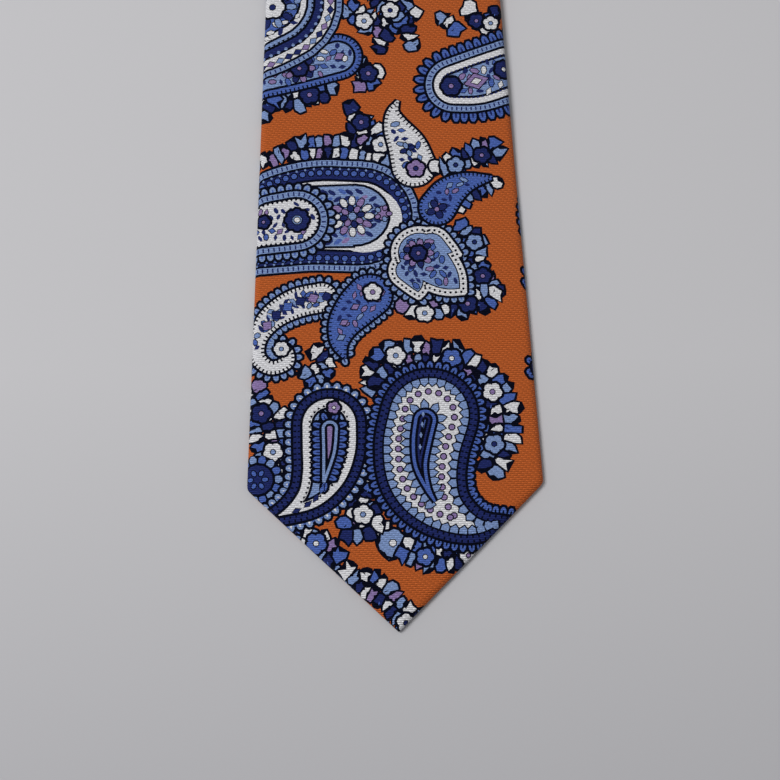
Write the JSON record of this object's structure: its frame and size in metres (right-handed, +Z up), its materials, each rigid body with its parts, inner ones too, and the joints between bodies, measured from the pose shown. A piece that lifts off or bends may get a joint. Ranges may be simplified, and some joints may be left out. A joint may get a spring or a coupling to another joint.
{
  "type": "necktie",
  "caption": "Printed silk necktie, laid flat and folded once at the neck, with a pointed front blade over a slimmer tail blade and a keeper loop, labels and tipping on its back.",
  "frame": {"origin": "middle of the footprint, on the surface that the folded tie lies on", "axes": "+Y from the front tip to the neck fold, +X across the blade, +Z up out of the front blade's face"},
  "size_m": [0.095, 0.8798, 0.0068],
  "materials": {
    "printed_silk": "silk twill printed with a paisley in orange, navy, light blue and white",
    "wool_interlining": "brushed wool interlining",
    "lining_silk": "plain navy lining twill",
    "label_tape": "blank woven tape",
    "navy_thread": "twisted silk sewing thread",
    "orange_thread": "twisted silk sewing thread"
  },
  "bodies": {
    "tail_half": {"tail_shell": "printed_silk", "tail_neck_shell": "printed_silk", "tail_interlining": "wool_interlining", "tail_tipping": "lining_silk", "tail_join_thread": "orange_thread", "tail_slip_stitches": "navy_thread", "tail_bar_tack": "navy_thread"},
    "front_half": {"front_shell": "printed_silk", "front_neck_shell": "printed_silk", "front_interlining": "wool_interlining", "front_tipping": "lining_silk", "front_join_thread": "orange_thread", "front_slip_stitches": "navy_thread", "front_bar_tack": "navy_thread", "keeper_loop": "printed_silk", "keeper_loop_tacks": "navy_thread", "brand_label": "label_tape", "brand_label_stitches": "navy_thread", "care_label_tack": "navy_thread"},
    "care_label": {"care_label": "label_tape"}
  },
  "joints": [
    {"name": "neck_fold", "type": "hinge", "parent": "tail_half", "child": "front_half", "pos_m": [0, 0.44, 0.0034], "axis": [-1, 0, 0], "range_deg": [0, 179.98]},
    {"name": "care_label_flap", "type": "hinge", "parent": "front_half", "child": "care_label", "pos_m": [0, -0.235, 0.00025], "axis": [1, 0, 0], "range_deg": [0, 170]}
  ]
}
